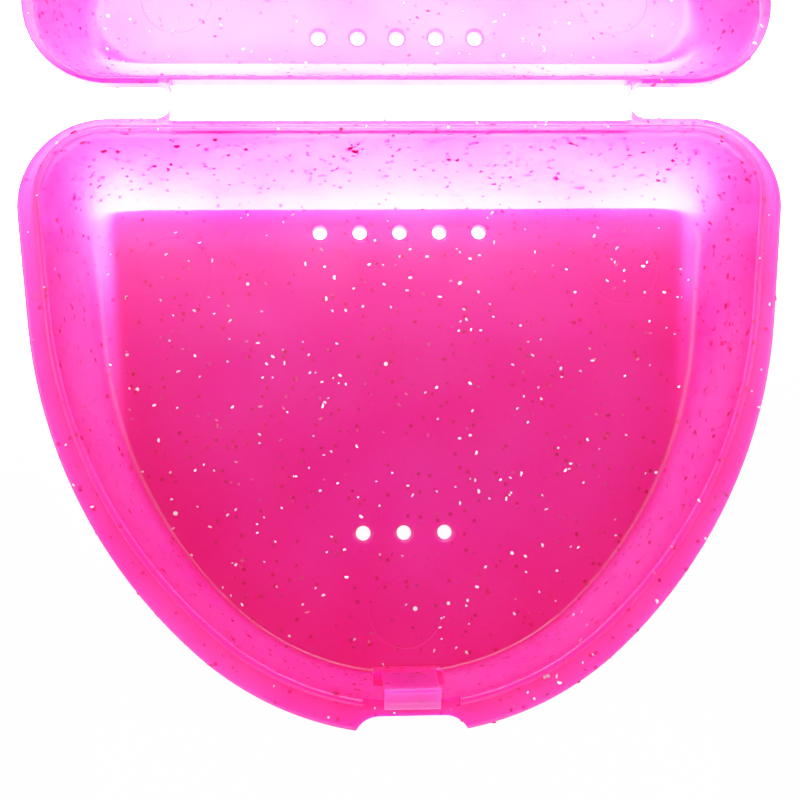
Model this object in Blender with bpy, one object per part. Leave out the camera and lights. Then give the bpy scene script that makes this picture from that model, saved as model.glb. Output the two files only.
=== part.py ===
"""A hinged case for a mouthguard, open flat: a D-shaped base, a thin hinge web, a lid of the same
outline, and a latch tongue that flexes. Metres, +Z up, +Y from the base towards the hinge. The origin
is on the underside of the base."""

import math

import bmesh
import bpy
from mathutils import Matrix, Vector

MM = 0.001
# The gap between pieces that touch, and how far a cutter reaches past what it cuts.
GAP = 0.3 * MM
CUT_MARGIN = 0.2 * MM

# The rim's outline, seen from above: a straight back, round corners, straight sides that lean in, and
# two arcs on each side that meet at the front.
HALF_WIDTH = 40.0 * MM
BACK_Y = 32.0 * MM
FRONT_Y = -31.5 * MM
CORNER_RADIUS = 9.2 * MM
SIDE_LEAN = math.radians(6.3)
SIDE_RADIUS = 52.6 * MM
FRONT_RADIUS = 32.1 * MM

# Heights of one half.
HALF_HEIGHT = 12.7 * MM
FLOOR_THICKNESS = 1.5 * MM
FLANGE_THICKNESS = 2.0 * MM
LIP_HEIGHT = 0.7 * MM
EDGE_ROUND = 0.15 * MM

# Distances inward from the rim's outline, each at the sides, the back and the front.
LIP_OUTER = (1.8 * MM, 1.0 * MM, 2.5 * MM)
LIP_INNER = (2.6 * MM, 1.7 * MM, 3.3 * MM)
BASE_WALL_OUTER = (1.6 * MM, 0.8 * MM, 2.0 * MM)
LID_MOUTH = (1.5 * MM, 0.8 * MM, 1.9 * MM)
LID_WALL_OUTER = (0.7 * MM, 0.4 * MM, 0.9 * MM)
FLOOR_INNER = (6.7 * MM, 6.8 * MM, 5.3 * MM)
FLOOR_OUTER = (5.7 * MM, 5.7 * MM, 4.3 * MM)
FLOOR_CORNER_RADIUS = 6.0 * MM

# The wall runs straight down over this share of its slope, and then curves into the floor.
STRAIGHT_SHARE = 0.55
INNER_CURVE_HEIGHT = 2.4 * MM
OUTER_CURVE_HEIGHT = 2.6 * MM

# The hinge web lies between two fold lines at the bottom of the two flanges.
CLOSED_GAP = 0.2 * MM
FOLD_DROP = 1.8 * MM
WEB_LENGTH = 2.0 * FOLD_DROP + CLOSED_GAP
WEB_THICKNESS = 0.4 * MM
WEB_HALF_WIDTH = 24.0 * MM
HINGE_RECESS = 0.3 * MM
EAR_RADIUS = 1.2 * MM
EAR_STEPS = 5
BASE_FOLD_Y = BACK_Y - HINGE_RECESS + GAP
LID_FOLD_Y = BASE_FOLD_Y + WEB_LENGTH
FOLD_Z = HALF_HEIGHT - FOLD_DROP

# Vent holes through each floor, wider at the inside.
VENT_SPACING = 4.5 * MM
VENT_ROWS = ((22.5 * MM, 5), (-11.3 * MM, 3))
VENT_TOP_RADIUS = 1.2 * MM
VENT_BOTTOM_RADIUS = 0.85 * MM

# The thumb notch in the front flange.
NOTCH_DEPTH = 1.9 * MM
NOTCH_HALF_WIDTH = 5.9 * MM
NOTCH_FLAT_HALF_WIDTH = 3.3 * MM
NOTCH_END_ANGLE = math.radians(15)
NOTCH_FLARE = 0.5 * MM
NOTCH_STEPS = 6

# The latch: a tongue on a boss inside the front wall of the base, and a ledge in the lid.
TONGUE_HALF_WIDTH = 2.8 * MM
TONGUE_TIP_Y = -28.75 * MM
TONGUE_NECK_Y = -28.0 * MM
TONGUE_ROOT_Y = -27.1 * MM
TONGUE_THICKNESS = 1.35 * MM
TONGUE_CREST = 0.4 * MM
TONGUE_ROOT_Z = 7.0 * MM
HOOK_Z = HALF_HEIGHT + 1.5 * MM
HOOK_TIP_HEIGHT = 0.3 * MM
HOOK_TOP = HALF_HEIGHT + 3.0 * MM
BOSS_HALF_WIDTH = 3.7 * MM
BOSS_OUTER_Y = -27.55 * MM
BOSS_INNER_Y = TONGUE_ROOT_Y + TONGUE_THICKNESS
BOSS_BOTTOM_Z = 1.0 * MM
BOSS_TOP_Z = TONGUE_ROOT_Z - GAP
LIP_BREAK_HALF_WIDTH = 4.9 * MM
LEDGE_HALF_WIDTH = 3.2 * MM
LEDGE_OUTER_Y = -30.0 * MM
LEDGE_INNER_Y = -28.3 * MM
LEDGE_TOP_Z = HALF_HEIGHT - 0.1 * MM
LEDGE_HEIGHT = 1.15 * MM

CORNER_STEPS = 12
SIDE_STEPS = 8
FRONT_STEPS = 8
CURVE_STEPS = 5
VENT_SIDES = 24
SHARP_ANGLE = math.radians(30)

PLASTIC = (0.93, 0.03, 0.28, 1.0)
WEB_PLASTIC = (0.98, 0.55, 0.85, 1.0)


def clear_scene():
    for thing in list(bpy.data.objects):
        bpy.data.objects.remove(thing)


def plastic(name, colour, roughness):
    made = bpy.data.materials.new(name)
    made.use_nodes = True
    shader = made.node_tree.nodes["Principled BSDF"]
    shader.inputs["Base Color"].default_value = colour
    shader.inputs["Roughness"].default_value = roughness
    shader.inputs["Metallic"].default_value = 0.0
    return made


def arc(centre, radius, start, end, steps):
    """Points from one angle to another, both ends included."""
    turns = [start + (end - start) * i / steps for i in range(steps + 1)]
    return [(centre[0] + radius * math.cos(t), centre[1] + radius * math.sin(t)) for t in turns]


def outline(inset, corner_radius):
    """The D shape, drawn in from the rim's outline at its sides, back and front. The right half runs
    from the back to the front, and the left half mirrors it."""
    side, back, front = inset
    side_radius = SIDE_RADIUS - side
    front_radius = FRONT_RADIUS - front
    corner = Vector((HALF_WIDTH - side - corner_radius, BACK_Y - back - corner_radius))
    front_centre = Vector((0.0, FRONT_Y + front + front_radius))
    outward = Vector((math.cos(SIDE_LEAN), -math.sin(SIDE_LEAN)))
    along = Vector((-math.sin(SIDE_LEAN), -math.cos(SIDE_LEAN)))
    # The side's straight length is what makes the side arc touch the front arc.
    offset = corner - (side_radius - corner_radius) * outward - front_centre
    slope = offset.dot(along)
    straight = -slope - math.sqrt(slope**2 - offset.dot(offset) + (side_radius - front_radius) ** 2)
    side_centre = front_centre + offset + straight * along
    to_front = front_centre - side_centre
    meeting = math.atan2(to_front.y, to_front.x)
    half = arc(corner, corner_radius, math.pi / 2, -SIDE_LEAN, CORNER_STEPS)
    half += arc(side_centre, side_radius, -SIDE_LEAN, meeting, SIDE_STEPS)
    half += arc(front_centre, front_radius, meeting, -math.pi / 2, FRONT_STEPS)[1:]
    return half + [(-x, y) for x, y in reversed(half[:-1])]


def between(first, second, share):
    return tuple(a + (b - a) * share for a, b in zip(first, second))


def wall_rings(top, bottom, top_z, curve_top_z, bottom_z, corner_top, corner_bottom):
    """Rings down a wall: straight, and then a curve that ends level with the floor."""
    run_out = STRAIGHT_SHARE * (top_z - bottom_z) / (top_z - curve_top_z)
    rings = [(top, corner_top, top_z)]
    for i in range(CURVE_STEPS + 1):
        t = i / CURVE_STEPS
        share = (1 - t) ** 2 * STRAIGHT_SHARE + 2 * t * (1 - t) * run_out + t**2
        z = (1 - t) ** 2 * curve_top_z + (1 - (1 - t) ** 2) * bottom_z
        corner = corner_top + (corner_bottom - corner_top) * share
        rings.append((between(top, bottom, share), corner, z))
    return rings


def shifted(inset, amount):
    return tuple(value + amount for value in inset)


def outside_rings(wall_outer):
    """From the underside's centre out to the flange's top edge."""
    flange_z = HALF_HEIGHT - FLANGE_THICKNESS
    wall = wall_rings(
        wall_outer,
        FLOOR_OUTER,
        flange_z,
        OUTER_CURVE_HEIGHT,
        0.0,
        CORNER_RADIUS - wall_outer[0],
        FLOOR_CORNER_RADIUS + FLOOR_INNER[0] - FLOOR_OUTER[0],
    )
    rim = (0.0, 0.0, 0.0)
    flange = [
        (shifted(rim, EDGE_ROUND), CORNER_RADIUS - EDGE_ROUND, flange_z),
        (rim, CORNER_RADIUS, flange_z + EDGE_ROUND),
        (rim, CORNER_RADIUS, HALF_HEIGHT - EDGE_ROUND),
        (shifted(rim, EDGE_ROUND), CORNER_RADIUS - EDGE_ROUND, HALF_HEIGHT),
    ]
    return wall[::-1] + flange


def inside_rings(mouth, mouth_z):
    return wall_rings(
        mouth,
        FLOOR_INNER,
        mouth_z,
        FLOOR_THICKNESS + INNER_CURVE_HEIGHT,
        FLOOR_THICKNESS,
        CORNER_RADIUS - mouth[0],
        FLOOR_CORNER_RADIUS,
    )


def lip_rings():
    top = HALF_HEIGHT + LIP_HEIGHT
    return [
        (LIP_OUTER, CORNER_RADIUS - LIP_OUTER[0], HALF_HEIGHT),
        (LIP_OUTER, CORNER_RADIUS - LIP_OUTER[0], top - EDGE_ROUND),
        (shifted(LIP_OUTER, EDGE_ROUND), CORNER_RADIUS - LIP_OUTER[0] - EDGE_ROUND, top),
        (shifted(LIP_INNER, -EDGE_ROUND), CORNER_RADIUS - LIP_INNER[0] + EDGE_ROUND, top),
    ]


def on_lid(y):
    """Where a place along Y in the base falls in the open lid, its mirror across the hinge."""
    return BASE_FOLD_Y + LID_FOLD_Y - y


def solid_from(name, bm):
    bmesh.ops.recalc_face_normals(bm, faces=bm.faces)
    mesh = bpy.data.meshes.new(name)
    bm.to_mesh(mesh)
    bm.free()
    made = bpy.data.objects.new(name, mesh)
    bpy.context.collection.objects.link(made)
    return made


def shell(name, rings, mirror):
    """One closed solid from a stack of rings, capped at the first and the last."""
    bm = bmesh.new()
    loops = []
    for inset, corner_radius, z in rings:
        points = outline(inset, corner_radius)
        loops.append([bm.verts.new((x, y, z)) for x, y in points])
    for lower, upper in zip(loops, loops[1:]):
        count = len(lower)
        for i in range(count):
            j = (i + 1) % count
            bm.faces.new((lower[i], lower[j], upper[j], upper[i]))
    bm.faces.new(loops[0])
    bm.faces.new(loops[-1])
    if mirror:
        for vert in bm.verts:
            vert.co.y = on_lid(vert.co.y)
    return solid_from(name, bm)


def prism(name, profile, half_width):
    """A profile of (y, z) points, drawn along X."""
    bm = bmesh.new()
    near = [bm.verts.new((-half_width, y, z)) for y, z in profile]
    far = [bm.verts.new((half_width, y, z)) for y, z in profile]
    bm.faces.new(near)
    bm.faces.new(far)
    for i in range(len(profile)):
        j = (i + 1) % len(profile)
        bm.faces.new((near[i], near[j], far[j], far[i]))
    return solid_from(name, bm)


def slab(name, points, low_z, high_z):
    """A plan of (x, y) points, drawn along Z."""
    bm = bmesh.new()
    low = [bm.verts.new((x, y, low_z)) for x, y in points]
    high = [bm.verts.new((x, y, high_z)) for x, y in points]
    bm.faces.new(low)
    bm.faces.new(high)
    for i in range(len(points)):
        j = (i + 1) % len(points)
        bm.faces.new((low[i], low[j], high[j], high[i]))
    return solid_from(name, bm)


def block(name, low, high):
    profile = [(low[1], low[2]), (high[1], low[2]), (high[1], high[2]), (low[1], high[2])]
    made = prism(name, profile, (high[0] - low[0]) / 2)
    made.location.x = (high[0] + low[0]) / 2
    return made


def combine(target, tool, operation):
    """Cuts a helper shape from the target, or joins it on, and removes the helper."""
    modifier = target.modifiers.new(tool.name, "BOOLEAN")
    modifier.operation = operation
    modifier.object = tool
    bpy.context.view_layer.update()
    result = target.evaluated_get(bpy.context.evaluated_depsgraph_get())
    mesh = bpy.data.meshes.new_from_object(result)
    target.modifiers.clear()
    target.data = mesh
    bpy.data.objects.remove(tool)


def vent_cutter(x, y):
    """A tapered pin through the floor, whose sizes hold at the floor's two faces."""
    reach = 0.5 * MM
    taper = (VENT_TOP_RADIUS - VENT_BOTTOM_RADIUS) / FLOOR_THICKNESS
    bm = bmesh.new()
    bmesh.ops.create_cone(
        bm,
        cap_ends=True,
        segments=VENT_SIDES,
        radius1=VENT_BOTTOM_RADIUS - taper * reach,
        radius2=VENT_TOP_RADIUS + taper * reach,
        depth=FLOOR_THICKNESS + 2 * reach,
    )
    made = solid_from("vent", bm)
    made.location = (x, y, FLOOR_THICKNESS / 2)
    return made


def cut_vents(target, mirror):
    for row_y, count in VENT_ROWS:
        y = on_lid(row_y) if mirror else row_y
        for i in range(count):
            x = (i - (count - 1) / 2) * VENT_SPACING
            combine(target, vent_cutter(x, y), "DIFFERENCE")


def notch_cutter():
    """The thumb notch's plan: a flat with a round corner at each end."""
    radius = NOTCH_HALF_WIDTH - NOTCH_FLAT_HALF_WIDTH
    corner = (NOTCH_FLAT_HALF_WIDTH, FRONT_Y + NOTCH_DEPTH - radius)
    right = arc(corner, radius, math.pi / 2, NOTCH_END_ANGLE, NOTCH_STEPS)
    right.append((right[-1][0] + NOTCH_FLARE, FRONT_Y - NOTCH_DEPTH))
    points = right + [(-x, y) for x, y in reversed(right)]
    low_z = HALF_HEIGHT - FLANGE_THICKNESS - CUT_MARGIN
    return slab("notch", points, low_z, HALF_HEIGHT + LIP_HEIGHT + CUT_MARGIN)


def mirrored(points, mirror):
    return [(x, on_lid(y)) for x, y in points] if mirror else points


def fit_hinge(target, mirror):
    """A shallow recess for the web along the back edge, with a round ear at each end of it."""
    edge_x = WEB_HALF_WIDTH + GAP
    low_z = HALF_HEIGHT - FLANGE_THICKNESS
    inner_y = BACK_Y - HINGE_RECESS
    outer_y = BACK_Y + CUT_MARGIN
    recess = [(-edge_x, inner_y), (edge_x, inner_y), (edge_x, outer_y), (-edge_x, outer_y)]
    cutter = slab("recess", mirrored(recess, mirror), low_z - CUT_MARGIN, HALF_HEIGHT + CUT_MARGIN)
    combine(target, cutter, "DIFFERENCE")
    curve = arc((edge_x + EAR_RADIUS, BACK_Y + EAR_RADIUS), EAR_RADIUS, math.pi, 1.5 * math.pi, EAR_STEPS)
    ear = [(edge_x, inner_y)] + curve + [(edge_x + EAR_RADIUS, inner_y)]
    for side in (1, -1):
        plan = [(side * x, y) for x, y in ear]
        combine(target, slab("ear", mirrored(plan, mirror), low_z, HALF_HEIGHT), "UNION")


def make_base(material):
    lip_top = HALF_HEIGHT + LIP_HEIGHT - EDGE_ROUND
    rings = outside_rings(BASE_WALL_OUTER) + lip_rings() + inside_rings(LIP_INNER, lip_top)
    base = shell("base_tray", rings, False)
    lip_break = block(
        "lip_break",
        (-LIP_BREAK_HALF_WIDTH, FRONT_Y, HALF_HEIGHT),
        (LIP_BREAK_HALF_WIDTH, FRONT_Y + 2 * LIP_INNER[2], HALF_HEIGHT + 2 * LIP_HEIGHT),
    )
    combine(base, lip_break, "DIFFERENCE")
    boss = block(
        "boss",
        (-BOSS_HALF_WIDTH, BOSS_OUTER_Y, BOSS_BOTTOM_Z),
        (BOSS_HALF_WIDTH, BOSS_INNER_Y, BOSS_TOP_Z),
    )
    combine(base, boss, "UNION")
    combine(base, notch_cutter(), "DIFFERENCE")
    fit_hinge(base, False)
    cut_vents(base, False)
    base.data.materials.append(material)
    return base


def make_lid(material):
    rings = outside_rings(LID_WALL_OUTER) + inside_rings(LID_MOUTH, HALF_HEIGHT)
    lid = shell("lid_shell", rings, True)
    ledge = block(
        "ledge",
        (-LEDGE_HALF_WIDTH, on_lid(LEDGE_INNER_Y), LEDGE_TOP_Z - LEDGE_HEIGHT),
        (LEDGE_HALF_WIDTH, on_lid(LEDGE_OUTER_Y), LEDGE_TOP_Z),
    )
    combine(lid, ledge, "UNION")
    fit_hinge(lid, True)
    cut_vents(lid, True)
    lid.data.materials.append(material)
    return lid


def make_web(material):
    """The web ends on its two fold lines, a small gap away from each flange."""
    low = (-WEB_HALF_WIDTH, BASE_FOLD_Y, FOLD_Z - WEB_THICKNESS / 2)
    high = (WEB_HALF_WIDTH, LID_FOLD_Y, FOLD_Z + WEB_THICKNESS / 2)
    web = block("hinge_web", low, high)
    web.data.materials.append(material)
    return web


def make_tongue(material):
    """The tongue leans out along the front wall, and its hook slopes so that the lid rides over it."""
    crest_y = TONGUE_NECK_Y + TONGUE_THICKNESS
    profile = [
        (TONGUE_ROOT_Y, TONGUE_ROOT_Z),
        (TONGUE_ROOT_Y + TONGUE_THICKNESS, TONGUE_ROOT_Z),
        (crest_y, HOOK_Z),
        (crest_y, HOOK_TOP),
        (crest_y - TONGUE_CREST, HOOK_TOP),
        (TONGUE_TIP_Y, HOOK_Z + HOOK_TIP_HEIGHT),
        (TONGUE_TIP_Y, HOOK_Z),
        (TONGUE_NECK_Y, HOOK_Z),
    ]
    tongue = prism("latch_tongue", profile, TONGUE_HALF_WIDTH)
    tongue.data.materials.append(material)
    return tongue


def shade(made):
    made.data.shade_smooth()
    made.data.set_sharp_from_angle(angle=SHARP_ANGLE)


def put_origin(made, y, z):
    """Moves a piece's origin onto its joint's axis, and leaves the piece where it is."""
    offset = Vector((0.0, y, z)) - made.location
    made.data.transform(Matrix.Translation(-offset))
    made.location += offset


def main():
    clear_scene()
    body = plastic("pink_plastic", PLASTIC, 0.3)
    thin = plastic("web_plastic", WEB_PLASTIC, 0.35)
    base = make_base(body)
    lid = make_lid(body)
    web = make_web(thin)
    tongue = make_tongue(body)
    for made in (base, lid, web, tongue):
        shade(made)
    put_origin(web, BASE_FOLD_Y, FOLD_Z)
    put_origin(lid, LID_FOLD_Y, FOLD_Z)
    put_origin(tongue, TONGUE_ROOT_Y + TONGUE_THICKNESS / 2, TONGUE_ROOT_Z)


main()
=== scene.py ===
"""The looks of a hinged D-shaped case for a mouthguard, moulded in translucent pink plastic with
glitter. Metres, +Z up, +Y from the base towards the hinge and the open lid."""

import bisect
import math
import random

import bmesh
import bpy
from mathutils import Matrix, Vector


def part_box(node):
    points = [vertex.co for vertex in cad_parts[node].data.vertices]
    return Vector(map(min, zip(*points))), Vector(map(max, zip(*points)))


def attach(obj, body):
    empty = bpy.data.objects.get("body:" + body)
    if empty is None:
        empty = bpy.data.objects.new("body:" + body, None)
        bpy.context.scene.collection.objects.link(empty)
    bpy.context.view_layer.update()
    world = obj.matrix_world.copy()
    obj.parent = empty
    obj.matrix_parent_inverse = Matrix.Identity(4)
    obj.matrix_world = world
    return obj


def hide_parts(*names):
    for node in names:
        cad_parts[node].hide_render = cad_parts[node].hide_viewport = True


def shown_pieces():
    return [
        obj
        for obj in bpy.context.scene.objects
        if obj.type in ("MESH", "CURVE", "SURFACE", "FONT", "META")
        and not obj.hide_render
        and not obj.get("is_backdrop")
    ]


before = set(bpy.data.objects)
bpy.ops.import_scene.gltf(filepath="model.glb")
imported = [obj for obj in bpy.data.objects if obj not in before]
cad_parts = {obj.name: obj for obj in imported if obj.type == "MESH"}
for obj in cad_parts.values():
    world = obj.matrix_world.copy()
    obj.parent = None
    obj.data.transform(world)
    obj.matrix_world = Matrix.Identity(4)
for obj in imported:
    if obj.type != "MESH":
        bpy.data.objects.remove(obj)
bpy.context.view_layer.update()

MM = 0.001
WEB_LOW, WEB_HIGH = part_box("hinge_web")
BASE_FOLD_Y = WEB_LOW.y
LID_FOLD_Y = WEB_HIGH.y
FOLD_Z = (WEB_LOW.z + WEB_HIGH.z) / 2
WEB_HALF_WIDTH = WEB_HIGH.x
GAP = 0.3 * MM

# The rim's outline, seen from above.
HALF_WIDTH = 40.0 * MM
BACK_Y = 32.0 * MM
FRONT_Y = -31.5 * MM
CORNER_RADIUS = 9.2 * MM
SIDE_LEAN = math.radians(6.3)
SIDE_RADIUS = 52.6 * MM
FRONT_RADIUS = 32.1 * MM

# Heights of one half.
HALF_HEIGHT = 12.7 * MM
FLOOR_THICKNESS = 1.5 * MM
FLANGE_THICKNESS = 2.0 * MM
LIP_HEIGHT = 0.7 * MM

# Distances inward from the rim's outline, each at the sides, the back and the front.
LIP_OUTER = (1.8 * MM, 1.0 * MM, 2.5 * MM)
LIP_INNER = (2.6 * MM, 1.7 * MM, 3.3 * MM)
BASE_WALL_OUTER = (1.6 * MM, 0.8 * MM, 2.0 * MM)
LID_MOUTH = (1.5 * MM, 0.8 * MM, 1.9 * MM)
LID_WALL_OUTER = (0.7 * MM, 0.4 * MM, 0.9 * MM)
FLOOR_INNER = (6.7 * MM, 6.8 * MM, 5.3 * MM)
FLOOR_OUTER = (5.7 * MM, 5.7 * MM, 4.3 * MM)
FLOOR_CORNER_RADIUS = 6.0 * MM
STRAIGHT_SHARE = 0.55
INNER_CURVE_HEIGHT = 2.4 * MM
OUTER_CURVE_HEIGHT = 2.6 * MM

# Rounding of the edges.
FLANGE_ROUND = 0.4 * MM
LIP_ROUND = 0.3 * MM
MOUTH_ROUND = 0.3 * MM

VENT_SPACING = 4.5 * MM
VENT_ROWS = ((22.5 * MM, 5), (-11.3 * MM, 3))
VENT_TOP_RADIUS = 1.2 * MM
VENT_BOTTOM_RADIUS = 0.8 * MM

NOTCH_DEPTH = 1.9 * MM
NOTCH_HALF_WIDTH = 5.9 * MM
NOTCH_FLAT_HALF_WIDTH = 3.3 * MM
LIP_BREAK_HALF_WIDTH = 4.9 * MM
LIP_BREAK_CORNER = 0.3 * MM

# The hinge strip, its grooves at the folds, and the ears at its ends.
WEB_HALF_THICKNESS = 0.2 * MM
GROOVE_HALF_THICKNESS = 0.09 * MM
GROOVE_WIDTH = 0.7 * MM
EAR_RADIUS = 1.2 * MM

# The latch tongue on the base, the boss under it, and the ledge that its hook catches on the lid.
TONGUE_ROOT_Y = -27.1 * MM
TONGUE_ROOT_Z = 7.0 * MM
TONGUE_THICKNESS = 1.35 * MM
TONGUE_HALF_WIDTH = 2.8 * MM
TONGUE_NECK_Y = -28.0 * MM
TONGUE_TIP_Y = -28.75 * MM
HOOK_LOW_Z = HALF_HEIGHT + 1.5 * MM
HOOK_TOP_Z = HALF_HEIGHT + 3.0 * MM
HOOK_CREST = 0.4 * MM
HOOK_TIP_HEIGHT = 0.3 * MM
TONGUE_BEVEL = 0.12 * MM
BOSS_HALF_WIDTH = 3.7 * MM
BOSS_OUTER_Y = -27.55 * MM
BOSS_BOTTOM_Z = 1.0 * MM
BOSS_CORNER = 0.25 * MM
LEDGE_HALF_WIDTH = 3.2 * MM
LEDGE_INNER_Y = -28.3 * MM
LEDGE_OUTER_Y = -30.0 * MM
LEDGE_LOW_Z = HALF_HEIGHT - 1.25 * MM
LEDGE_TOP_Z = HALF_HEIGHT - 0.1 * MM
LEDGE_CORNER = 0.2 * MM

# Round marks left in the floors by the mould's ejector pins.
MARKS = ((25.2 * MM, 18.0 * MM), (-25.2 * MM, 18.0 * MM), (0.0, -19.9 * MM))
MARK_RADIUS = 4.0 * MM
MARK_DEPTH = 0.08 * MM

# How far a cutting shape reaches past what it cuts.
CUT_MARGIN = 0.2 * MM

# Glitter flakes: their radii, and how much larger those on steep walls are.
FLAKE_SIZES = (0.11 * MM, 0.27 * MM)
FLAKE_THICKNESS = 0.03 * MM
FLAKE_TILT = 0.35
WALL_FLAKE = 1.6
# The shares of the flakes that are bright foil, on level faces and on the others. Painted light and
# shade: level faces get many bright flakes, for glitter lit from above, and walls get nearly all dark
# ones, for glitter in shade against the light behind.
LIT_FLAKE_SHARE_LEVEL = 0.45
LIT_FLAKE_SHARE_SLOPE = 0.02
# A face is steep below the first of these heights of its normal, and level above the second.
STEEP = 0.5
LEVEL = 0.9

CORNER_STEPS = 20
SIDE_STEPS = 20
FRONT_STEPS = 20
CURVE_STEPS = 10
ROUND_STEPS = 4


def arc(centre, radius, start, end, steps):
    """Points from one angle to another, both ends included."""
    turns = [start + (end - start) * i / steps for i in range(steps + 1)]
    return [(centre[0] + radius * math.cos(t), centre[1] + radius * math.sin(t)) for t in turns]


def outline(inset, corner_radius):
    """The D shape, drawn in from the rim's outline at its sides, back and front."""
    side, back, front = inset
    side_radius = SIDE_RADIUS - side
    front_radius = FRONT_RADIUS - front
    corner = Vector((HALF_WIDTH - side - corner_radius, BACK_Y - back - corner_radius))
    front_centre = Vector((0.0, FRONT_Y + front + front_radius))
    outward = Vector((math.cos(SIDE_LEAN), -math.sin(SIDE_LEAN)))
    along = Vector((-math.sin(SIDE_LEAN), -math.cos(SIDE_LEAN)))
    offset = corner - (side_radius - corner_radius) * outward - front_centre
    slope = offset.dot(along)
    straight = -slope - math.sqrt(slope**2 - offset.dot(offset) + (side_radius - front_radius) ** 2)
    side_centre = front_centre + offset + straight * along
    to_front = front_centre - side_centre
    meeting = math.atan2(to_front.y, to_front.x)
    half = arc(corner, corner_radius, math.pi / 2, -SIDE_LEAN, CORNER_STEPS)
    half += arc(side_centre, side_radius, -SIDE_LEAN, meeting, SIDE_STEPS)
    half += arc(front_centre, front_radius, meeting, -math.pi / 2, FRONT_STEPS)[1:]
    return half + [(-x, y) for x, y in reversed(half[:-1])]


def between(first, second, share):
    return tuple(a + (b - a) * share for a, b in zip(first, second))


def shifted(inset, amount):
    return tuple(value + amount for value in inset)


def wall_rings(top, bottom, top_z, curve_top_z, bottom_z, corner_top, corner_bottom):
    """Rings down a wall: straight, and then a curve that ends level with the floor."""
    run_out = STRAIGHT_SHARE * (top_z - bottom_z) / (top_z - curve_top_z)
    rings = []
    for i in range(3):
        share = STRAIGHT_SHARE * i / 3
        z = top_z + (curve_top_z - top_z) * i / 3
        corner = corner_top + (corner_bottom - corner_top) * share
        rings.append((between(top, bottom, share), corner, z))
    for i in range(CURVE_STEPS + 1):
        t = i / CURVE_STEPS
        share = (1 - t) ** 2 * STRAIGHT_SHARE + 2 * t * (1 - t) * run_out + t**2
        z = (1 - t) ** 2 * curve_top_z + (1 - (1 - t) ** 2) * bottom_z
        corner = corner_top + (corner_bottom - corner_top) * share
        rings.append((between(top, bottom, share), corner, z))
    return rings


def edge_rings(inset, radius, z, start, end):
    """Rings round an edge. Angle 0 faces out from the case's middle, and a right angle faces up."""
    rings = []
    for i in range(ROUND_STEPS + 1):
        turn = start + (end - start) * i / ROUND_STEPS
        out = radius * math.cos(turn)
        rings.append((shifted(inset, -out), CORNER_RADIUS - inset[0] + out, z + radius * math.sin(turn)))
    return rings


def outside_rings(wall_outer):
    """From the underside's centre out to the flange's top edge."""
    flange_z = HALF_HEIGHT - FLANGE_THICKNESS
    wall = wall_rings(
        wall_outer,
        FLOOR_OUTER,
        flange_z,
        OUTER_CURVE_HEIGHT,
        0.0,
        CORNER_RADIUS - wall_outer[0],
        FLOOR_CORNER_RADIUS + FLOOR_INNER[0] - FLOOR_OUTER[0],
    )
    middle = (FLANGE_ROUND,) * 3
    low = edge_rings(middle, FLANGE_ROUND, flange_z + FLANGE_ROUND, -math.pi / 2, 0.0)
    high = edge_rings(middle, FLANGE_ROUND, HALF_HEIGHT - FLANGE_ROUND, 0.0, math.pi / 2)
    return wall[::-1] + low + high


def inside_rings(mouth, mouth_z):
    return wall_rings(
        mouth,
        FLOOR_INNER,
        mouth_z,
        FLOOR_THICKNESS + INNER_CURVE_HEIGHT,
        FLOOR_THICKNESS,
        CORNER_RADIUS - mouth[0],
        FLOOR_CORNER_RADIUS,
    )


def lip_rings():
    """Up the lip's outer side and over its rounded top."""
    foot = (LIP_OUTER, CORNER_RADIUS - LIP_OUTER[0], HALF_HEIGHT)
    top_z = HALF_HEIGHT + LIP_HEIGHT - LIP_ROUND
    outer = edge_rings(shifted(LIP_OUTER, LIP_ROUND), LIP_ROUND, top_z, 0.0, math.pi / 2)
    inner = edge_rings(shifted(LIP_INNER, -LIP_ROUND), LIP_ROUND, top_z, math.pi / 2, math.pi)
    return [foot] + outer + inner[:-1]


def on_lid(y):
    """Where a place along Y in the base falls in the open lid, its mirror across the hinge."""
    return BASE_FOLD_Y + LID_FOLD_Y - y


def piece_from(name, bm):
    bmesh.ops.recalc_face_normals(bm, faces=bm.faces)
    mesh = bpy.data.meshes.new(name)
    bm.to_mesh(mesh)
    bm.free()
    made = bpy.data.objects.new(name, mesh)
    bpy.context.scene.collection.objects.link(made)
    return made


def shell(name, rings, mirror):
    """One closed solid from a stack of rings, capped at the first and the last."""
    bm = bmesh.new()
    loops = []
    for inset, corner_radius, z in rings:
        points = outline(inset, corner_radius)
        loops.append([bm.verts.new((x, y, z)) for x, y in points])
    for lower, upper in zip(loops, loops[1:]):
        count = len(lower)
        for i in range(count):
            j = (i + 1) % count
            bm.faces.new((lower[i], lower[j], upper[j], upper[i]))
    bm.faces.new(loops[0])
    bm.faces.new(loops[-1])
    if mirror:
        for vert in bm.verts:
            vert.co.y = on_lid(vert.co.y)
    return piece_from(name, bm)


def slab(name, points, low_z, high_z):
    """A plan of (x, y) points, drawn along Z."""
    bm = bmesh.new()
    low = [bm.verts.new((x, y, low_z)) for x, y in points]
    high = [bm.verts.new((x, y, high_z)) for x, y in points]
    bm.faces.new(low)
    bm.faces.new(high)
    for i in range(len(points)):
        j = (i + 1) % len(points)
        bm.faces.new((low[i], low[j], high[j], high[i]))
    return piece_from(name, bm)


def prism(name, profile, half_width):
    """A profile of (y, z) points, drawn along X."""
    bm = bmesh.new()
    near = [bm.verts.new((-half_width, y, z)) for y, z in profile]
    far = [bm.verts.new((half_width, y, z)) for y, z in profile]
    bm.faces.new(near)
    bm.faces.new(far)
    for i in range(len(profile)):
        j = (i + 1) % len(profile)
        bm.faces.new((near[i], near[j], far[j], far[i]))
    return piece_from(name, bm)


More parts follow.
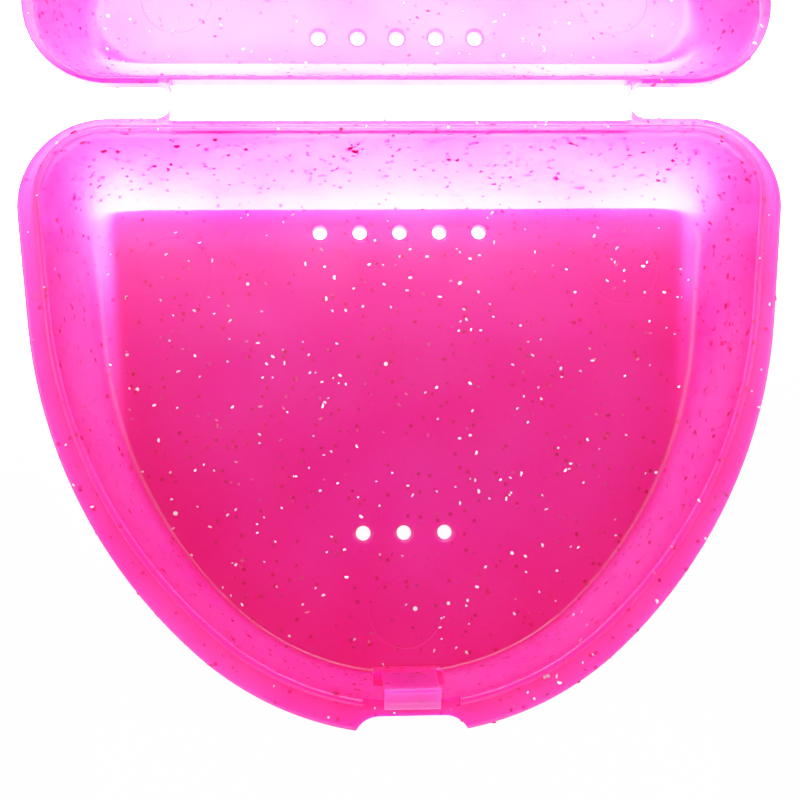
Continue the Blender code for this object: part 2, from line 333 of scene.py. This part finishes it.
def combine(target, tool, operation):
    """Cuts a helper shape from the target, or joins it on, and removes the helper."""
    modifier = target.modifiers.new(tool.name, "BOOLEAN")
    modifier.operation = operation
    modifier.object = tool
    bpy.context.view_layer.update()
    result = target.evaluated_get(bpy.context.evaluated_depsgraph_get())
    mesh = bpy.data.meshes.new_from_object(result)
    target.modifiers.clear()
    target.data = mesh
    bpy.data.objects.remove(tool)


def round_cutter(name, profile, sides):
    """A profile of (radius, z) points, turned about Z."""
    bm = bmesh.new()
    loops = []
    for radius, z in profile:
        turns = [2 * math.pi * i / sides for i in range(sides)]
        loops.append([bm.verts.new((radius * math.cos(t), radius * math.sin(t), z)) for t in turns])
    for lower, upper in zip(loops, loops[1:]):
        for i in range(sides):
            j = (i + 1) % sides
            bm.faces.new((lower[i], lower[j], upper[j], upper[i]))
    bm.faces.new(loops[0])
    bm.faces.new(loops[-1])
    return piece_from(name, bm)


def cut_vents(target, mirror):
    """Vent holes with a rounded mouth on the inside."""
    mouth = VENT_TOP_RADIUS - VENT_BOTTOM_RADIUS
    profile = [(VENT_BOTTOM_RADIUS, -mouth), (VENT_BOTTOM_RADIUS, FLOOR_THICKNESS - mouth)]
    for i in range(1, 6):
        turn = math.pi / 2 * i / 5
        radius = VENT_TOP_RADIUS - mouth * math.cos(turn)
        profile.append((radius, FLOOR_THICKNESS - mouth + mouth * math.sin(turn)))
    profile.append((VENT_TOP_RADIUS, FLOOR_THICKNESS + mouth))
    for row_y, count in VENT_ROWS:
        for i in range(count):
            vent = round_cutter("vent", profile, 40)
            vent.location.x = (i - (count - 1) / 2) * VENT_SPACING
            vent.location.y = on_lid(row_y) if mirror else row_y
            combine(target, vent, "DIFFERENCE")


def cut_marks(target, mirror):
    """Shallow round marks where the mould pushed the moulding out."""
    profile = [
        (MARK_RADIUS - MARK_DEPTH, FLOOR_THICKNESS - MARK_DEPTH),
        (MARK_RADIUS + MARK_DEPTH, FLOOR_THICKNESS + MARK_DEPTH),
    ]
    for x, y in MARKS:
        mark = round_cutter("mark", profile, 72)
        mark.location.x = x
        mark.location.y = on_lid(y) if mirror else y
        combine(target, mark, "DIFFERENCE")


def fit_hinge(target, mirror):
    """A shallow recess for the web along the back edge, with a round ear at each end of it."""
    edge_x = WEB_HALF_WIDTH + GAP
    low_z = HALF_HEIGHT - FLANGE_THICKNESS
    inner_y = BACK_Y - GAP
    recess = [
        (-edge_x, inner_y),
        (edge_x, inner_y),
        (edge_x, BACK_Y + CUT_MARGIN),
        (-edge_x, BACK_Y + CUT_MARGIN),
    ]
    if mirror:
        recess = [(x, on_lid(y)) for x, y in recess]
    cutter = slab("recess", recess, low_z - CUT_MARGIN, HALF_HEIGHT + CUT_MARGIN)
    combine(target, cutter, "DIFFERENCE")
    centre = (edge_x + EAR_RADIUS, BACK_Y + EAR_RADIUS)
    curve = arc(centre, EAR_RADIUS, math.pi, 1.5 * math.pi, 8)
    ear = [(edge_x, inner_y)] + curve + [(edge_x + EAR_RADIUS, inner_y - GAP)]
    for side in (1, -1):
        plan = [(side * x, on_lid(y) if mirror else y) for x, y in ear]
        combine(target, slab("ear", plan, low_z, HALF_HEIGHT), "UNION")


def notch_cutter():
    """The thumb notch's plan: a flat with a round corner at each end."""
    radius = NOTCH_HALF_WIDTH - NOTCH_FLAT_HALF_WIDTH
    corner = (NOTCH_FLAT_HALF_WIDTH, FRONT_Y + NOTCH_DEPTH - radius)
    right = arc(corner, radius, math.pi / 2, math.radians(15), 12)
    right.append((right[-1][0] + 0.5 * MM, FRONT_Y - NOTCH_DEPTH))
    points = right + [(-x, y) for x, y in reversed(right)]
    low_z = HALF_HEIGHT - FLANGE_THICKNESS - CUT_MARGIN
    return slab("notch", points, low_z, HALF_HEIGHT + LIP_HEIGHT + CUT_MARGIN)


def box_piece(name, low, high, corner):
    """A block with rounded upright edges, drawn from its plan."""
    plan = []
    for x, y, start in (
        (high[0] - corner, high[1] - corner, 0.0),
        (low[0] + corner, high[1] - corner, 0.5),
        (low[0] + corner, low[1] + corner, 1.0),
        (high[0] - corner, low[1] + corner, 1.5),
    ):
        plan += arc((x, y), corner, start * math.pi, (start + 0.5) * math.pi, 5)
    return slab(name, plan, low[2], high[2])


def make_base():
    """The base: a tray with a raised lip, the thumb notch and the boss that carries the latch."""
    lip_top = HALF_HEIGHT + LIP_HEIGHT - LIP_ROUND
    rings = outside_rings(BASE_WALL_OUTER) + lip_rings() + inside_rings(LIP_INNER, lip_top)
    base = shell("base_moulding", rings, False)
    lip_break = box_piece(
        "lip_break",
        (-LIP_BREAK_HALF_WIDTH, FRONT_Y, HALF_HEIGHT),
        (LIP_BREAK_HALF_WIDTH, FRONT_Y + 2 * LIP_INNER[2], HALF_HEIGHT + 2 * LIP_HEIGHT),
        LIP_BREAK_CORNER,
    )
    combine(base, lip_break, "DIFFERENCE")
    boss = box_piece(
        "boss",
        (-BOSS_HALF_WIDTH, BOSS_OUTER_Y, BOSS_BOTTOM_Z),
        (BOSS_HALF_WIDTH, TONGUE_ROOT_Y + TONGUE_THICKNESS, TONGUE_ROOT_Z - GAP),
        BOSS_CORNER,
    )
    combine(base, boss, "UNION")
    combine(base, notch_cutter(), "DIFFERENCE")
    fit_hinge(base, False)
    cut_vents(base, False)
    cut_marks(base, False)
    return base


def make_lid():
    """The lid: the base's mirror with a plain mouth, and a ledge for the latch's hook."""
    middle = shifted(LID_MOUTH, -MOUTH_ROUND)
    mouth_z = HALF_HEIGHT - MOUTH_ROUND
    mouth = edge_rings(middle, MOUTH_ROUND, mouth_z, math.pi / 2, math.pi)
    rings = outside_rings(LID_WALL_OUTER) + mouth[:-1] + inside_rings(LID_MOUTH, mouth_z)
    lid = shell("lid_moulding", rings, True)
    ledge = box_piece(
        "ledge",
        (-LEDGE_HALF_WIDTH, on_lid(LEDGE_INNER_Y), LEDGE_LOW_Z),
        (LEDGE_HALF_WIDTH, on_lid(LEDGE_OUTER_Y), LEDGE_TOP_Z),
        LEDGE_CORNER,
    )
    combine(lid, ledge, "UNION")
    fit_hinge(lid, True)
    cut_vents(lid, True)
    cut_marks(lid, True)
    return lid


def make_web():
    """A thin strip that narrows to a groove at each fold line and reaches both flanges."""
    steps = 6
    extra = WEB_HALF_THICKNESS - GROOVE_HALF_THICKNESS
    top = [(BASE_FOLD_Y - GAP, FOLD_Z + GROOVE_HALF_THICKNESS)]
    for i in range(steps + 1):
        share = i / steps
        rise = GROOVE_HALF_THICKNESS + extra * math.sin(math.pi / 2 * share)
        top.append((BASE_FOLD_Y + GROOVE_WIDTH * share, FOLD_Z + rise))
    upper = top + [(on_lid(y), z) for y, z in reversed(top)]
    lower = [(y, 2 * FOLD_Z - z) for y, z in reversed(upper)]
    return prism("hinge_strip", upper + lower, WEB_HALF_WIDTH)


def make_tongue():
    """The latch tongue: it leans out along the front wall and ends in a sloped hook."""
    crest_y = TONGUE_NECK_Y + TONGUE_THICKNESS
    profile = [
        (TONGUE_ROOT_Y, TONGUE_ROOT_Z),
        (TONGUE_ROOT_Y + TONGUE_THICKNESS, TONGUE_ROOT_Z),
        (crest_y, HOOK_LOW_Z),
        (crest_y, HOOK_TOP_Z),
        (crest_y - HOOK_CREST, HOOK_TOP_Z),
        (TONGUE_TIP_Y, HOOK_LOW_Z + HOOK_TIP_HEIGHT),
        (TONGUE_TIP_Y, HOOK_LOW_Z),
        (TONGUE_NECK_Y, HOOK_LOW_Z),
    ]
    tongue = prism("latch_moulding", profile, TONGUE_HALF_WIDTH)
    bevel = tongue.modifiers.new("round", "BEVEL")
    bevel.width = TONGUE_BEVEL
    bevel.segments = 3
    bevel.limit_method = "ANGLE"
    bevel.angle_limit = math.radians(30)
    return tongue


def must_stay_bare(spot, radius):
    """Whether a flake here would hang over a vent, or reach into the narrow gap at a fold."""
    for fold_y in (BASE_FOLD_Y, LID_FOLD_Y):
        if abs(spot.x) < WEB_HALF_WIDTH + GAP + radius and abs(spot.y - fold_y) < GAP + radius:
            return True
    for row_y, count in VENT_ROWS:
        for y in (row_y, on_lid(row_y)):
            for i in range(count):
                x = (i - (count - 1) / 2) * VENT_SPACING
                if math.hypot(spot.x - x, spot.y - y) < VENT_TOP_RADIUS + radius:
                    return True
    return False


def running_areas(triangles):
    """The triangles' areas, added up one by one."""
    total = 0.0
    sums = []
    for triangle in triangles:
        total += triangle.area
        sums.append(total)
    return sums


def add_flake(bm, spot, facing, radius, turn, narrow):
    """One six-sided plate, longer than it is wide; returns its faces."""
    frame_of = facing.to_track_quat("Z", "Y").to_matrix()
    half = Vector((0.0, 0.0, FLAKE_THICKNESS / 2))
    lower, upper = [], []
    for i in range(6):
        angle = turn + math.pi / 3 * i
        flat = Vector((radius * math.cos(angle), radius * narrow * math.sin(angle), 0.0))
        lower.append(bm.verts.new(spot + frame_of @ (flat - half)))
        upper.append(bm.verts.new(spot + frame_of @ (flat + half)))
    faces = [bm.faces.new(list(reversed(lower))), bm.faces.new(upper)]
    for i in range(6):
        j = (i + 1) % 6
        faces.append(bm.faces.new((lower[i], lower[j], upper[j], upper[i])))
    return faces


def make_flakes(name, source, count, seed):
    """Flakes of glitter, half sunk all over a piece's surface but clear of its vents and folds. Bright
    foil goes mostly on level faces and dark foil on the walls: painted light and painted shade.
    """
    draw = random.Random(seed)
    mesh = source.evaluated_get(bpy.context.evaluated_depsgraph_get()).to_mesh()
    mesh.calc_loop_triangles()
    triangles = list(mesh.loop_triangles)
    sums = running_areas(triangles)
    bm = bmesh.new()
    placed = 0
    while placed < count:
        pick = bisect.bisect_left(sums, draw.random() * sums[-1])
        triangle = triangles[min(pick, len(triangles) - 1)]
        a, b, c = (mesh.vertices[i].co for i in triangle.vertices)
        u, v = draw.random(), draw.random()
        if u + v > 1:
            u, v = 1 - u, 1 - v
        spot = a + u * (b - a) + v * (c - a)
        normal = triangle.normal.copy()
        radius = FLAKE_SIZES[0] + (FLAKE_SIZES[1] - FLAKE_SIZES[0]) * draw.random() ** 2
        if abs(normal.z) < STEEP:
            radius *= WALL_FLAKE
        turn = draw.random() * math.pi
        tilt = Vector((draw.uniform(-1, 1), draw.uniform(-1, 1), draw.uniform(-1, 1))) * FLAKE_TILT
        if must_stay_bare(spot, radius):
            continue
        narrow = draw.uniform(0.5, 1.0)
        faces = add_flake(bm, spot, (normal + tilt).normalized(), radius, turn, narrow)
        # Painted light and shade: the foil follows the face's slope, bright on level faces and dark on
        # walls.
        share = LIT_FLAKE_SHARE_LEVEL if abs(normal.z) > LEVEL else LIT_FLAKE_SHARE_SLOPE
        kind = 0 if draw.random() < share else 1
        for face in faces:
            face.material_index = kind
        placed += 1
    return piece_from(name, bm)


def shade(made, angle):
    """Smooth rounds, sharp edges, and flat faces that stay flat."""
    made.data.shade_smooth()
    made.data.set_sharp_from_angle(angle=angle)
    weighted = made.modifiers.new("weighted", "WEIGHTED_NORMAL")
    weighted.keep_sharp = True
    weighted.weight = 100


# Sizes of the plastic's pattern, as noise scales per metre, its finish, and its translucency.
CLOUD_SCALE = 60.0
WAVE_SCALE = 140.0
SPECK_SCALE = 700.0
SKIN_SCALE = 2200.0
SPECK_COLOUR = (0.4, 0.001, 0.04, 1)
ROUGHNESS = (0.26, 0.4)
SCATTER_SCALE = 8.0 * MM


def new_material(name):
    made = bpy.data.materials.new(name)
    made.use_nodes = True
    return made, made.node_tree, made.node_tree.nodes["Principled BSDF"]


def link(tree, source, output, target, socket):
    tree.links.new(source.outputs[output], target.inputs[socket])


def noise(tree, place, scale, detail):
    made = tree.nodes.new("ShaderNodeTexNoise")
    made.inputs["Scale"].default_value = scale
    made.inputs["Detail"].default_value = detail
    link(tree, place, "Object", made, "Vector")
    return made


def ramp(tree, source, output, stops):
    made = tree.nodes.new("ShaderNodeValToRGB")
    made.color_ramp.elements[0].position = stops[0][0]
    made.color_ramp.elements[0].color = stops[0][1]
    made.color_ramp.elements[1].position = stops[1][0]
    made.color_ramp.elements[1].color = stops[1][1]
    link(tree, source, output, made, "Fac")
    return made


def mixed(tree, share, share_output, first, second):
    """A colour mix of two sources, each a node with a colour output or a plain colour."""
    made = tree.nodes.new("ShaderNodeMix")
    made.data_type = "RGBA"
    link(tree, share, share_output, made, "Factor")
    for socket, source in ((6, first), (7, second)):
        if isinstance(source, tuple):
            made.inputs[socket].default_value = source
        else:
            tree.links.new(source, made.inputs[socket])
    return made.outputs[2]


def dyed_colour(tree, place, deep, light):
    """Cloudy dye with small dark specks, the glitter that lies deeper."""
    cloud = noise(tree, place, CLOUD_SCALE, 3.0)
    share = ramp(tree, cloud, "Fac", ((0.35, (0, 0, 0, 1)), (0.65, (1, 1, 1, 1))))
    body = mixed(tree, share, "Color", deep, light)
    cells = tree.nodes.new("ShaderNodeTexVoronoi")
    cells.inputs["Scale"].default_value = SPECK_SCALE
    link(tree, place, "Object", cells, "Vector")
    speck = ramp(tree, cells, "Distance", ((0.12, (1, 1, 1, 1)), (0.18, (0, 0, 0, 1))))
    return mixed(tree, speck, "Color", body, SPECK_COLOUR)


def moulded_skin(tree, place, shader):
    """Roughness that drifts over the surface, and the mould's fine texture."""
    wave = noise(tree, place, WAVE_SCALE, 2.0)
    rough = tree.nodes.new("ShaderNodeMapRange")
    rough.inputs["To Min"].default_value = ROUGHNESS[0]
    rough.inputs["To Max"].default_value = ROUGHNESS[1]
    link(tree, wave, "Fac", rough, "Value")
    link(tree, rough, "Result", shader, "Roughness")
    skin = noise(tree, place, SKIN_SCALE, 2.0)
    bump = tree.nodes.new("ShaderNodeBump")
    bump.inputs["Strength"].default_value = 0.12
    bump.inputs["Distance"].default_value = 0.05 * MM
    link(tree, skin, "Fac", bump, "Height")
    link(tree, bump, "Normal", shader, "Normal")


def plastic(name, deep, light, reach):
    """Translucent plastic, with how far red, green and blue light reach into it."""
    made, tree, shader = new_material(name)
    place = tree.nodes.new("ShaderNodeTexCoord")
    tree.links.new(dyed_colour(tree, place, deep, light), shader.inputs["Base Color"])
    moulded_skin(tree, place, shader)
    shader.inputs["IOR"].default_value = 1.49
    shader.inputs["Specular IOR Level"].default_value = 0.35
    shader.inputs["Subsurface Weight"].default_value = 1.0
    shader.inputs["Subsurface Radius"].default_value = reach
    shader.inputs["Subsurface Scale"].default_value = SCATTER_SCALE
    return made


def glitter(name, colour, metallic):
    """Flakes of foil whose shine and tone differ from one to the next."""
    made, tree, shader = new_material(name)
    flake = tree.nodes.new("ShaderNodeNewGeometry")
    darker = tuple(0.6 * value for value in colour[:3]) + (1,)
    tone = ramp(tree, flake, "Random Per Island", ((0.0, darker), (1.0, colour)))
    link(tree, tone, "Color", shader, "Base Color")
    shine = tree.nodes.new("ShaderNodeMapRange")
    link(tree, flake, "Random Per Island", shine, "Value")
    shine.inputs["To Min"].default_value = 0.45
    shine.inputs["To Max"].default_value = 0.25
    link(tree, shine, "Result", shader, "Roughness")
    shader.inputs["Metallic"].default_value = metallic
    return made


def build_object():
    """Each piece with its body, the CAD node it stands for, its slot, flakes and sharp-edge angle."""
    body = plastic("pink_plastic", (0.98, 0.003, 0.12, 1), (1.0, 0.006, 0.15, 1), (2.3, 2.2, 1.42))
    # The hinge strip's plastic is the case's plastic made much paler: painted light, for light shining
    # through the thin strip.
    thin = plastic("hinge_plastic_painted_light", (0.90, 0.10, 0.45, 1), (0.98, 0.2, 0.55, 1), (1.6, 1.4, 1.6))
    # The latch tongue's plastic is the case's plastic made a little paler: painted light on the tongue.
    lit_latch_plastic = plastic("latch_plastic_painted_light", (0.98, 0.008, 0.17, 1), (1.0, 0.02, 0.24, 1), (2.3, 2.0, 1.42))
    # The dark foil is partly dark glitter and partly painted shade: on the walls it stands for glitter
    # seen dark against the light behind.
    bright_foil = glitter("bright_foil", (1.0, 0.86, 0.95, 1), 0.5)
    dark_and_shaded_foil = glitter("dark_and_shaded_foil", (0.42, 0.003, 0.08, 1), 0.1)
    shell_edge = math.radians(35)
    strip_edge = math.radians(50)
    plan = (
        (make_base(), "base_tray", "base", body, "pink_plastic", 2400, shell_edge),
        (make_lid(), "lid_shell", "lid", body, "pink_plastic", 2200, shell_edge),
        (make_web(), "hinge_web", "web", thin, "web_plastic", 26, strip_edge),
        (make_tongue(), "latch_tongue", "latch", lit_latch_plastic, "pink_plastic", 14, strip_edge),
    )
    bpy.context.view_layer.update()
    for seed, (piece, node, rides_on, material, slot, flakes, angle) in enumerate(plan):
        piece.data.materials.clear()
        piece.data.materials.append(material)
        shade(piece, angle)
        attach(piece, rides_on)
        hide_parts(node)
        sprinkle = make_flakes(rides_on + "_glitter", piece, flakes, seed + 3)
        sprinkle.data.materials.append(bright_foil)
        sprinkle.data.materials.append(dark_and_shaded_foil)
        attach(sprinkle, rides_on)


# The lit table's glow along Y, in millimetres and relative brightness.
GLOW = (
    (-60, 0.1),
    (-22, 0.1),
    (-4, 0.05),
    (8, 0.1),
    (16, 0.3),
    (19, 0.5),
    (23.5, 1.6),
    (26, 4.0),
    (42.3, 4.0),
    (46, 8.0),
    (60, 2.0),
    (110, 0.3),
)
# The glow beside the case, by distance from its middle line, which narrows towards the front.
SIDE_TAPER = 0.08
SIDE_GLOW = ((30.0, 0.0), (31.8, 5.0), (38.0, 2.5), (42.0, 1.5), (60.0, 0.0))
SIDE_ALONG = (
    (-60, 0.0),
    (-18, 0.0),
    (-7, 0.06),
    (3, 0.18),
    (12, 0.4),
    (20, 1.2),
    (25, 2.2),
    (42, 2.2),
    (60, 0.6),
    (110, 0.2),
)
SIDE_LEFT = 0.95
SIDE_RIGHT = 0.4
# The glow near the hinge fades out towards the two sides of the case.
HINGE_SPREAD = ((0.0, 1.0), (32.0, 1.0), (39.0, 0.25), (60.0, 0.1))
FLOOR_REACH = 1.5
FLOOR_Z = -0.02 * MM


def strip_of_light(tree, distance, output, table):
    """Brightness that follows a table of distances in millimetres."""
    first, last = table[0][0], table[-1][0]
    span = tree.nodes.new("ShaderNodeMapRange")
    span.inputs["From Min"].default_value = first * MM
    span.inputs["From Max"].default_value = last * MM
    link(tree, distance, output, span, "Value")
    glow = tree.nodes.new("ShaderNodeValToRGB")
    glow.color_ramp.interpolation = "EASE"
    while len(glow.color_ramp.elements) < len(table):
        glow.color_ramp.elements.new(0.5)
    for element, (spot, value) in zip(glow.color_ramp.elements, table):
        element.position = (spot - first) / (last - first)
        element.color = (value, value, value, 1)
    link(tree, span, "Result", glow, "Fac")
    return glow


def arithmetic(tree, operation, first, second):
    """A math node; each input is a number or a (node, output) pair."""
    step = tree.nodes.new("ShaderNodeMath")
    step.operation = operation
    for socket, value in zip(step.inputs, (first, second)):
        if isinstance(value, tuple):
            tree.links.new(value[0].outputs[value[1]], socket)
        else:
            socket.default_value = value
    return step


def table_glow(tree):
    """The glow behind the hinge and the glow beside the walls, added together."""
    place = tree.nodes.new("ShaderNodeTexCoord")
    split = tree.nodes.new("ShaderNodeSeparateXYZ")
    link(tree, place, "Object", split, "Vector")
    aside = arithmetic(tree, "ABSOLUTE", (split, "X"), 0.0)
    along = strip_of_light(tree, split, "Y", GLOW)
    spread = strip_of_light(tree, aside, "Value", HINGE_SPREAD)
    central = arithmetic(tree, "MULTIPLY", (along, "Color"), (spread, "Color"))
    taper = arithmetic(tree, "MULTIPLY", (split, "Y"), SIDE_TAPER)
    outward = arithmetic(tree, "SUBTRACT", (aside, "Value"), (taper, "Value"))
    beside = strip_of_light(tree, outward, "Value", SIDE_GLOW)
    fading = strip_of_light(tree, split, "Y", SIDE_ALONG)
    faded = arithmetic(tree, "MULTIPLY", (beside, "Color"), (fading, "Color"))
    lean = tree.nodes.new("ShaderNodeMapRange")
    lean.inputs["From Min"].default_value = -HALF_WIDTH
    lean.inputs["From Max"].default_value = HALF_WIDTH
    lean.inputs["To Min"].default_value = SIDE_LEFT
    lean.inputs["To Max"].default_value = SIDE_RIGHT
    link(tree, split, "X", lean, "Value")
    leaning = arithmetic(tree, "MULTIPLY", (faded, "Value"), (lean, "Result"))
    return arithmetic(tree, "ADD", (central, "Value"), (leaning, "Value"))


def build_floor():
    signs = ((-1, -1), (1, -1), (1, 1), (-1, 1))
    corners = [(x * FLOOR_REACH, y * FLOOR_REACH, FLOOR_Z) for x, y in signs]
    mesh = bpy.data.meshes.new("floor")
    mesh.from_pydata(corners, [], [(0, 1, 2, 3)])
    floor = bpy.data.objects.new("floor", mesh)
    bpy.context.scene.collection.objects.link(floor)
    made, tree, shader = new_material("floor_white")
    shader.inputs["Base Color"].default_value = (0.9, 0.9, 0.9, 1)
    shader.inputs["Roughness"].default_value = 0.9
    shader.inputs["Emission Color"].default_value = (1, 1, 1, 1)
    link(tree, table_glow(tree), "Value", shader, "Emission Strength")
    mesh.materials.append(made)
    floor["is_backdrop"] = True


def aim(lamp, place, target):
    lamp.location = place
    lamp.rotation_euler = (Vector(target) - Vector(place)).to_track_quat("-Z", "Y").to_euler()
    lamp.visible_camera = False
    bpy.context.scene.collection.objects.link(lamp)


def light_only(lamp, pieces):
    """The lamp lights these pieces and nothing else."""
    group = bpy.data.collections.new(lamp.name)
    for piece in pieces:
        group.objects.link(piece)
    lamp.light_linking.receiver_collection = group


def area_light(name, place, target, size, power, pieces):
    data = bpy.data.lights.new(name, "AREA")
    data.shape = "RECTANGLE"
    data.size, data.size_y = size
    data.energy = power
    lamp = bpy.data.objects.new(name, data)
    aim(lamp, place, target)
    light_only(lamp, pieces)
    return lamp


# The picture's tone curve: straight up to a half, then a soft shoulder that ends at full white.
SHOULDER = (
    (0.0, 0.0),
    (0.5, 0.5),
    (0.75, 0.70),
    (1.0, 0.828),
    (1.25, 0.91),
    (1.5, 0.964),
    (2.0, 1.0),
)


def soften_highlights(view):
    view.view_transform = "Standard"
    view.use_curve_mapping = True
    mapping = view.curve_mapping
    mapping.clip_max_x = SHOULDER[-1][0]
    curve = mapping.curves[3]
    curve.points[0].location = SHOULDER[0]
    curve.points[1].location = SHOULDER[-1]
    for point in SHOULDER[1:-1]:
        curve.points.new(*point)
    mapping.update()


# White walls round the studio, and a dim ceiling that leaves no glare on the level plastic.
SKY_LOW = 0.3
SKY_HIGH = 0.65
HORIZON = 1.25
OVERHEAD = 0.08


def build_world():
    world = bpy.data.worlds.new("studio")
    world.use_nodes = True
    tree = world.node_tree
    background = tree.nodes["Background"]
    background.inputs["Color"].default_value = (1, 1, 1, 1)
    direction = tree.nodes.new("ShaderNodeTexCoord")
    split = tree.nodes.new("ShaderNodeSeparateXYZ")
    link(tree, direction, "Generated", split, "Vector")
    level = tree.nodes.new("ShaderNodeMapRange")
    level.interpolation_type = "SMOOTHSTEP"
    level.inputs["From Min"].default_value = SKY_LOW
    level.inputs["From Max"].default_value = SKY_HIGH
    level.inputs["To Min"].default_value = HORIZON
    level.inputs["To Max"].default_value = OVERHEAD
    link(tree, split, "Z", level, "Value")
    link(tree, level, "Result", background, "Strength")
    bpy.context.scene.world = world


WASH_POWER = 5.2
WASH_SPREAD = math.radians(25)

# Soft boxes over the case: name, place, the point they face, size in metres, and power in watts.
MIDDLE = (0.0, 0.01, 0.0)
SOFT_BOXES = (
    ("key_back", (0.0, 0.089, 0.098), (0.0, 0.02, 0.0), (0.12, 0.04), 0.30),
    ("fill_front", (0.0, -0.3, 0.3), MIDDLE, (0.3, 0.2), 0.86),
    ("fill_left", (-0.28, 0.05, 0.25), MIDDLE, (0.2, 0.2), 0.77),
    ("fill_right", (0.28, 0.05, 0.25), MIDDLE, (0.2, 0.2), 0.62),
)

# A flat lamp between the table and the case, under the hinge.
UNDER_HINGE_Z = -0.005 * MM
UNDER_HINGE_SIZE = (0.072, 0.017)
UNDER_HINGE_POWER = 0.14


def light_floor():
    """A wide light from straight above that keeps the table white and doesn't touch the case."""
    data = bpy.data.lights.new("floor_wash", "SUN")
    data.energy = WASH_POWER
    data.angle = WASH_SPREAD
    wash = bpy.data.objects.new("floor_wash", data)
    aim(wash, (0.0, 0.0, 1.0), (0.0, 0.0, 0.0))
    light_only(wash, [bpy.data.objects["floor"]])


def light_case():
    """The soft boxes, and the lamp under the hinge that shines up through the back walls."""
    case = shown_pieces()
    for name, place, target, size, power in SOFT_BOXES:
        area_light(name, place, target, size, power, case)
    hinge_y = (BASE_FOLD_Y + LID_FOLD_Y) / 2
    place = (0.0, hinge_y, UNDER_HINGE_Z)
    above = (0.0, hinge_y, 0.1)
    under = area_light("under_hinge", place, above, UNDER_HINGE_SIZE, UNDER_HINGE_POWER, case)
    under.visible_glossy = False


# The camera looks nearly straight down. Its place is in metres and its turns are in radians.
CAMERA_X = -6.317 * MM
CAMERA_Y = -12.524 * MM
CAMERA_ABOVE_RIM = 130 * MM
CAMERA_PAN = -0.043
CAMERA_TILT = 0.112
CAMERA_ROLL = -0.015
SENSOR_WIDTH = 36.0
LENS = 57.53
NEAREST = 0.01


def build_camera():
    data = bpy.data.cameras.new("camera")
    data.sensor_width = SENSOR_WIDTH
    data.lens = LENS
    data.clip_start = NEAREST
    camera = bpy.data.objects.new("camera", data)
    place = Matrix.Translation((CAMERA_X, CAMERA_Y, HALF_HEIGHT + CAMERA_ABOVE_RIM))
    pan = Matrix.Rotation(CAMERA_PAN, 4, "Y")
    tilt = Matrix.Rotation(CAMERA_TILT, 4, "X")
    roll = Matrix.Rotation(CAMERA_ROLL, 4, "Z")
    camera.matrix_world = place @ (pan @ tilt @ roll)
    bpy.context.scene.collection.objects.link(camera)
    bpy.context.scene.camera = camera


build_object()
build_floor()
build_world()
light_floor()
light_case()
soften_highlights(bpy.context.scene.view_settings)
build_camera()
